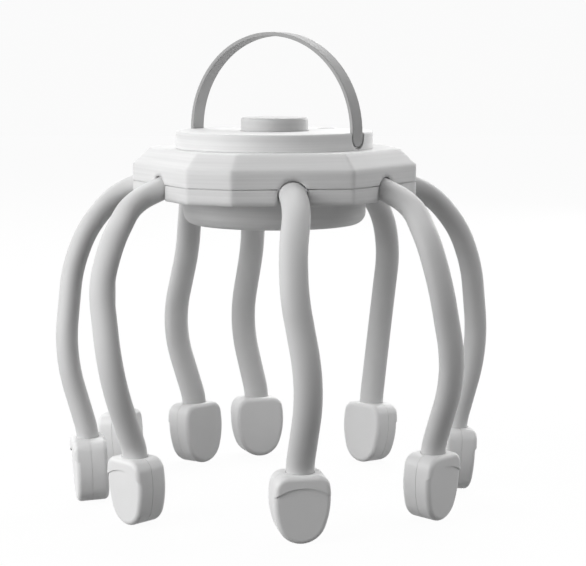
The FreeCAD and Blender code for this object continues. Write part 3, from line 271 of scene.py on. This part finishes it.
def leg_corners(leg):
    """Corners of a leg's bent path and the azimuth of its root: the two ends of the straight root,
    which leaves the middle of a side of the hub and leans down at the pitch, then shoulder, bow and
    shin at shares of the reach and the drop, and ankle and end on the axis of the foot."""
    side = (leg + 1) % (len(HUB_CORNERS) - 1)
    first, second = HUB_CORNERS[side:side + 2]
    root_azimuth = (first + second) / 2
    side_distance = HUB_CORNER_RADIUS * math.cos((second - first) / 2)
    runs = np.array([-LEG_ROOT_INSET, LEG_ROOT_RUN - LEG_ROOT_INSET])
    root = polar(side_distance + runs * math.cos(LEG_PITCH), root_azimuth,
                 SEAM_HEIGHT - PORT_DROP - runs * math.sin(LEG_PITCH))
    *azimuths, ankle_share, faced = LEG_BENDS[leg - 1]
    *bends, ankle = np.radians(azimuths)
    middle = polar(LEG_REACH * STATION_RADIUS_SHARES, np.array(bends),
                   SEAM_HEIGHT - LEG_DROP * STATION_DROP_SHARES)
    foot_top = polar(ankle_share * LEG_REACH, ankle, FOOT_TOP)
    foot_axis = polar(math.sin(FOOT_LEAN), math.radians(faced), math.cos(FOOT_LEAN))
    rises = np.array([ANKLE_RISE_SHARE * LEG_DROP, -LEG_SOCKET_DEPTH])
    return np.concatenate([root, middle, foot_top + rises[:, None] * foot_axis]), root_azimuth


def bent_path(corners):
    """Straight runs whose corners are rounded: about a corner c the parabola
    (1-u)^2 a + 2u(1-u) c + u^2 b, where a and b lie on the two runs at a share of the shorter one."""
    runs = np.diff(corners, axis=0)
    lengths = np.linalg.norm(runs, axis=1)
    ways = runs / lengths[:, None]
    reach = BEND_REACH_SHARE * np.minimum(lengths[:-1], lengths[1:])[:, None]
    enter, leave = corners[1:-1] - reach * ways[:-1], corners[1:-1] + reach * ways[1:]
    starts, ends = np.concatenate([corners[:1], leave]), np.concatenate([enter, corners[-1:]])
    share = np.linspace(0, 1, RINGS_PER_RUN, endpoint=False)[None, :, None]
    straight = starts[:, None] + share * (ends - starts)[:, None]
    share = np.linspace(0, 1, RINGS_PER_BEND, endpoint=False)[None, :, None]
    bends = ((1 - share) ** 2 * enter[:, None] + 2 * share * (1 - share) * corners[1:-1, None]
             + share ** 2 * leave[:, None])
    body = np.concatenate([straight[:-1], bends], axis=1).reshape(-1, 3)
    return np.concatenate([body, straight[-1], corners[-1:]])


def unit(vectors):
    """Vectors divided by their lengths."""
    return vectors / np.linalg.norm(vectors, axis=-1, keepdims=True)


def carried(first, ways):
    """Direction carried along a path without twist: at each ring d - (d . w) w, made a unit again,
    where d is the direction at the ring before and w the way of the path."""
    across = [first]
    for way in ways:
        across.append(unit(across[-1] - way * np.dot(across[-1], way)))
    return np.array(across[1:])


def add_tube(name, rings):
    """Closed mesh from an array of rings: quads between neighbours, and one face over each end."""
    count, around = rings.shape[:2]
    index = np.arange(count * around).reshape(count, around)
    following = np.roll(index, -1, axis=1)
    quads = np.stack([index[:-1], following[:-1], following[1:], index[1:]], axis=-1).reshape(-1, 4)
    faces = quads.tolist() + [index[0][::-1].tolist(), index[-1].tolist()]
    mesh = bpy.data.meshes.new(name)
    mesh.from_pydata(rings.reshape(-1, 3), [], faces)
    mesh.shade_smooth()
    piece = bpy.data.objects.new(name, mesh)
    bpy.context.collection.objects.link(piece)
    return piece


def add_leg(leg):
    """Oval tube: path + cos(t) half-width along the rim + sin(t) half-thickness across the leg."""
    corners, root_azimuth = leg_corners(leg)
    path = bent_path(corners)
    ahead = unit(np.gradient(path, axis=0))
    across = carried(polar(1.0, root_azimuth + math.pi / 2, 0.0), ahead)
    outward = np.cross(ahead, across)
    angle = np.linspace(0, 2 * math.pi, POINTS_PER_RING, endpoint=False)[None, :, None]
    rings = (path[:, None] + LEG_HALF_WIDTH * np.cos(angle) * across[:, None]
             + LEG_HALF_THICKNESS * np.sin(angle) * outward[:, None])
    return add_tube(f"silicone_leg_{leg}", rings), corners


# Silicone rubber from a blasted mould: a matt, slightly velvety skin that goes a little darker where
# it has been handled. The real grain is about 0.1 mm and is drawn coarser so that it shows.
silicone = new_finish("matt_moulded_silicone", {"IOR": 1.43, "Sheen Weight": 0.06}, grain_mm=0.5,
                      grain_height_mm=0.003, patch_mm=18.0, tones=("D2D2D2", "DCDCDC"),
                      gloss=(0.5, 0.62))

for leg in LEGS:
    tube, corners = add_leg(leg)
    tube.data.materials.append(silicone)
    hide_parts(f"leg_sleeve_{leg}")
    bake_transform(tube)


# Feet: two moulded half shells each, closed on a vibrating motor and pushed on the end of a leg.
# They are coloured a little whiter than the hub.

# White ABS from a blasted mould, rubbed smooth by hair and skin: near white, with a soft gloss. Its
# grain is drawn as coarse as on the hub.
white_abs = new_finish("white_moulded_abs", {"IOR": ABS_IOR}, grain_mm=0.4, grain_height_mm=0.001,
                       patch_mm=10.0, tones=("ECECEC", "F3F3F3"), gloss=(0.36, 0.5))
dress(white_abs, *[f"{piece}_{leg}" for leg in LEGS for piece in ("foot_outer", "foot_inner")])


# Studio: a white floor and backdrop, a broad key lamp at the front left, weaker lamps at both sides
# and behind, and the camera low in front, as in a product picture.

CAMERA_DISTANCE = 700.0 * MM
CAMERA_ELEVATION = math.radians(6.51)
CAMERA_AIM_DROP = 30.0 * MM
SENSOR_WIDTH_MM = 36.0
IMAGE_WIDTH_PX = 586
IMAGE_HEIGHT_PX = 566
FOCAL_PX = 1824.94
AIM_PX = (274.5, 258.1)
FLOOR_HALF_SIZE = 3000.0 * MM
SHADOW_SHARE = 0.04
FILL_STRENGTH = 0.06
LAMP_AIM_HEIGHT = 90.0 * MM
LAMP_DISTANCE = 1200.0 * MM
KEY_SIZE = 1000.0 * MM
LAMP_SIZE = 800.0 * MM

camera_data = bpy.data.cameras.new("camera")
camera_data.sensor_width = SENSOR_WIDTH_MM
camera_data.lens = FOCAL_PX * SENSOR_WIDTH_MM / IMAGE_WIDTH_PX
camera_data.shift_x = (IMAGE_WIDTH_PX / 2 - AIM_PX[0]) / IMAGE_WIDTH_PX
camera_data.shift_y = (AIM_PX[1] - IMAGE_HEIGHT_PX / 2) / IMAGE_WIDTH_PX
camera = bpy.data.objects.new("camera", camera_data)
camera.location = (0, -CAMERA_DISTANCE * math.cos(CAMERA_ELEVATION),
                   SEAM_HEIGHT - CAMERA_AIM_DROP + CAMERA_DISTANCE * math.sin(CAMERA_ELEVATION))
camera.rotation_euler = (math.pi / 2 - CAMERA_ELEVATION, 0, 0)
bpy.context.collection.objects.link(camera)
bpy.context.scene.camera = camera


def add_seen(material):
    """1 for rays that the camera sees, straight, in a gloss or through a clear piece, else 0."""
    path_kind = add_node(material, "ShaderNodeLightPath", {}, {})
    opaque = add_node(material, "ShaderNodeMath", {"operation": "MAXIMUM"}, {
        0: path_kind.outputs["Is Camera Ray"], 1: path_kind.outputs["Is Glossy Ray"]})
    return add_node(material, "ShaderNodeMath", {"operation": "MAXIMUM"}, {
        0: opaque.outputs["Value"], 1: path_kind.outputs["Is Transmission Ray"]})


# Painted board: seen as white with a faint shadow, while the light that it throws back up is that of
# a grey matt board, so that the undersides stay in shade.
floor_mesh = bpy.data.meshes.new("floor")
floor_corners = FLOOR_HALF_SIZE * np.array([(-1, -1, 0), (1, -1, 0), (1, 1, 0), (-1, 1, 0)])
floor_mesh.from_pydata(floor_corners.tolist(), [], [(0, 1, 2, 3)])
floor = bpy.data.objects.new("floor", floor_mesh)
bpy.context.collection.objects.link(floor)
floor_white = bpy.data.materials.new("white_sweep")
floor_white.use_nodes = True
floor_white.node_tree.nodes.clear()
seen = add_seen(floor_white)
matt = add_node(floor_white, "ShaderNodeBsdfDiffuse", {}, {"Color": linear("7A7A7A")})
shadowed = add_node(floor_white, "ShaderNodeBsdfDiffuse", {}, {"Color": linear("FFFFFF")})
glow = add_node(floor_white, "ShaderNodeEmission", {}, {
    "Color": linear("FFFFFF"), "Strength": 1.0})
faint = add_node(floor_white, "ShaderNodeMixShader", {}, {
    0: SHADOW_SHARE, 1: glow.outputs["Emission"], 2: shadowed.outputs["BSDF"]})
mixed = add_node(floor_white, "ShaderNodeMixShader", {}, {
    0: seen.outputs["Value"], 1: matt.outputs["BSDF"], 2: faint.outputs["Shader"]})
add_node(floor_white, "ShaderNodeOutputMaterial", {}, {"Surface": mixed.outputs["Shader"]})
floor_mesh.materials.append(floor_white)


def add_softbox(name, azimuth, elevation, size, watts):
    """Square soft light at an azimuth and elevation about the massager, turned to face it."""
    data = bpy.data.lights.new(name, "AREA")
    data.shape = "SQUARE"
    data.size = size
    data.energy = watts
    lamp = bpy.data.objects.new(name, data)
    spin, rise = math.radians(azimuth), math.radians(elevation)
    lamp.location = polar(LAMP_DISTANCE * math.cos(rise), spin,
                          LAMP_AIM_HEIGHT + LAMP_DISTANCE * math.sin(rise)).tolist()
    lamp.rotation_euler = (math.pi / 2 - rise, 0, spin)
    bpy.context.collection.objects.link(lamp)


add_softbox("key", azimuth=-57, elevation=25, size=KEY_SIZE, watts=12.6)
add_softbox("left", azimuth=-105, elevation=12, size=LAMP_SIZE, watts=3.0)
add_softbox("right", azimuth=86, elevation=28, size=LAMP_SIZE, watts=4.6)
add_softbox("back_right", azimuth=145, elevation=18, size=LAMP_SIZE, watts=5.0)
add_softbox("back_top", azimuth=180, elevation=52, size=LAMP_SIZE, watts=8.5)

# Backdrop: white where it is seen, as bright as the floor in full shade, and only a faint fill light
# on the pieces.
world = bpy.data.worlds.new("studio")
world.use_nodes = True
world_seen = add_seen(world)
strength = add_node(world, "ShaderNodeMapRange", {}, {
    "Value": world_seen.outputs["Value"], "To Min": FILL_STRENGTH, "To Max": 1 - SHADOW_SHARE})
background = world.node_tree.nodes["Background"]
background.inputs["Color"].default_value = linear("FFFFFF")
world.node_tree.links.new(strength.outputs["Result"], background.inputs["Strength"])
bpy.context.scene.world = world
bpy.context.scene.view_settings.view_transform = "Standard"
